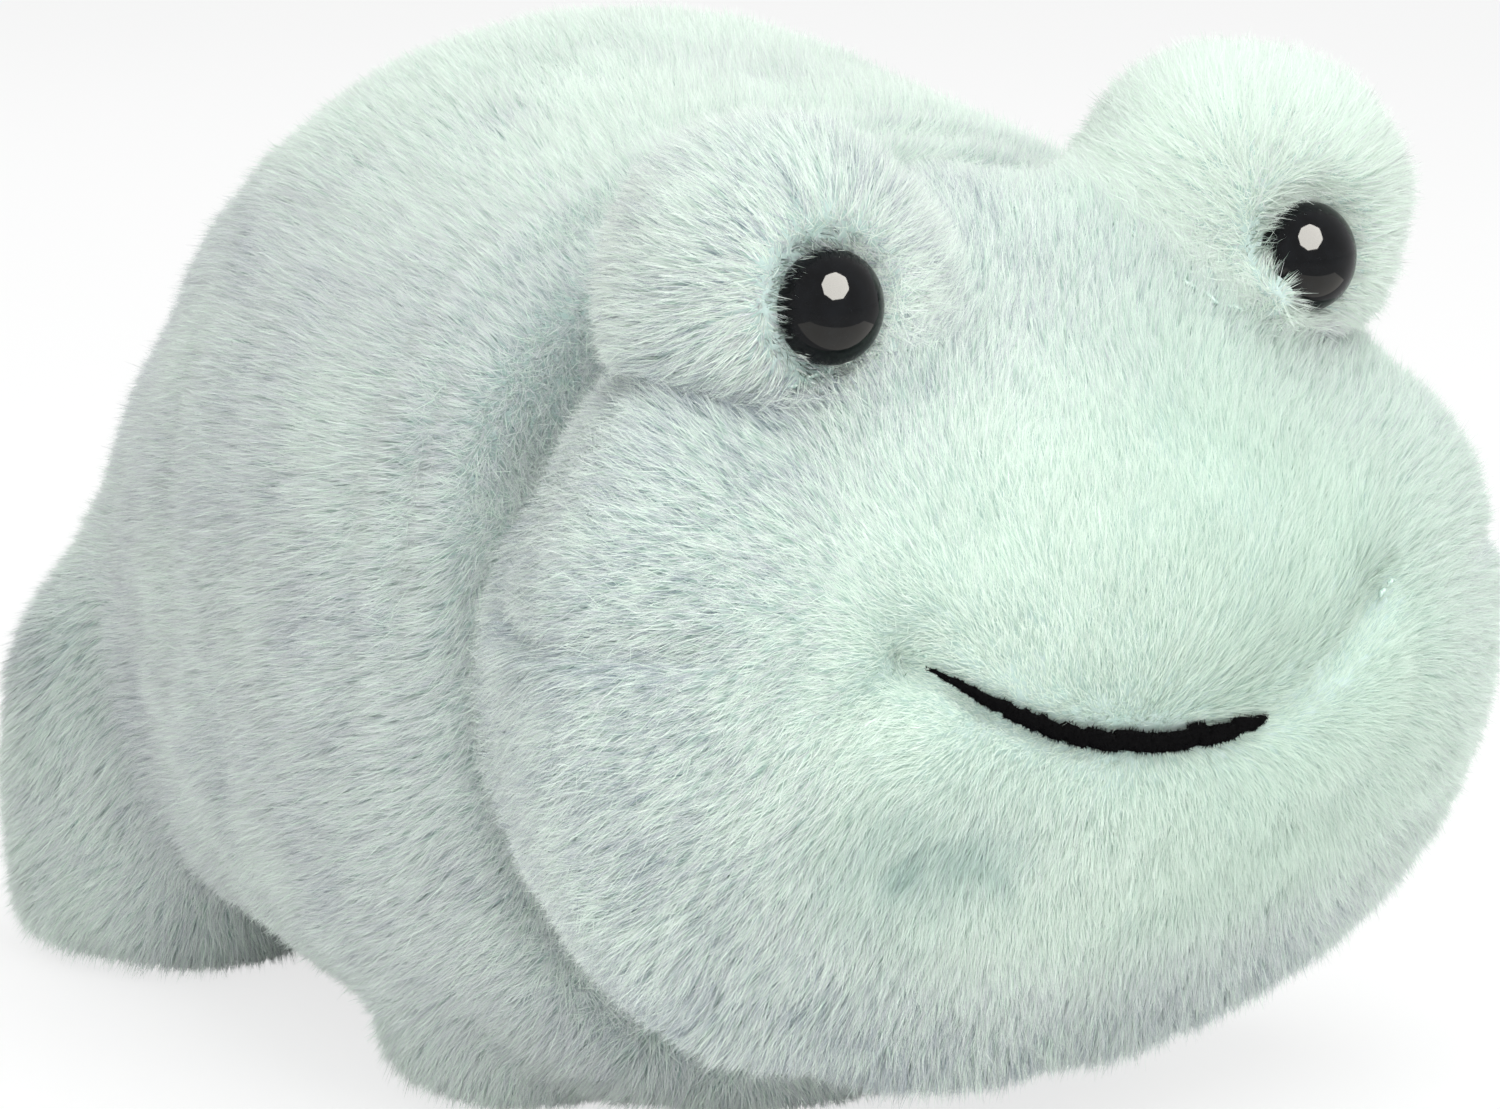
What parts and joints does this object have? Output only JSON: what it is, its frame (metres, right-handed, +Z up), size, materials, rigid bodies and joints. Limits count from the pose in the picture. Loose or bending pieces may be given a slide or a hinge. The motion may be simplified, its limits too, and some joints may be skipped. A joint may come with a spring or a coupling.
{
  "type": "plush frog",
  "caption": "Squat stuffed frog in short pale fur: a wide head sewn to a sloping loaf body, round eye mounds with glossy domed eyes, a thin smile and short stub legs.",
  "frame": {"origin": "on the floor under the middle of the bounding box, where the soles stand", "axes": "+Z up, the frog faces -Y and its right side is -X"},
  "size_m": [0.153, 0.2173, 0.1449],
  "materials": {
    "fur": "short pale mint plush pile on a knitted backing",
    "filling": "loose white fibre filling",
    "pouch_cloth": "thin plain woven cloth",
    "pellets": "packed white plastic pellets",
    "eye": "moulded glossy black",
    "washer": "moulded natural white",
    "mouth_thread": "black embroidery thread",
    "seam_thread": "mint sewing thread"
  },
  "bodies": {
    "root": {"body_cover": "fur", "head_cover": "fur", "eye_mound_cover_left": "fur", "eye_mound_cover_right": "fur", "front_leg_cover_left": "fur", "front_leg_cover_right": "fur", "hind_leg_cover_left": "fur", "hind_leg_cover_right": "fur", "body_filling": "filling", "head_filling": "filling", "eye_mound_filling_left": "filling", "eye_mound_filling_right": "filling", "front_leg_filling_left": "filling", "front_leg_filling_right": "filling", "hind_leg_filling_left": "filling", "hind_leg_filling_right": "filling", "pellet_pouch": "pouch_cloth", "pellet_fill": "pellets", "eye_left": "eye", "eye_right": "eye", "eye_washer_left": "washer", "eye_washer_right": "washer", "mouth_line": "mouth_thread", "mouth_tie_left": "seam_thread", "mouth_tie_right": "seam_thread", "neck_thread": "seam_thread", "eye_mound_thread_left": "seam_thread", "eye_mound_thread_right": "seam_thread", "front_leg_thread_left": "seam_thread", "front_leg_thread_right": "seam_thread", "hind_leg_thread_left": "seam_thread", "hind_leg_thread_right": "seam_thread"}
  },
  "joints": []
}
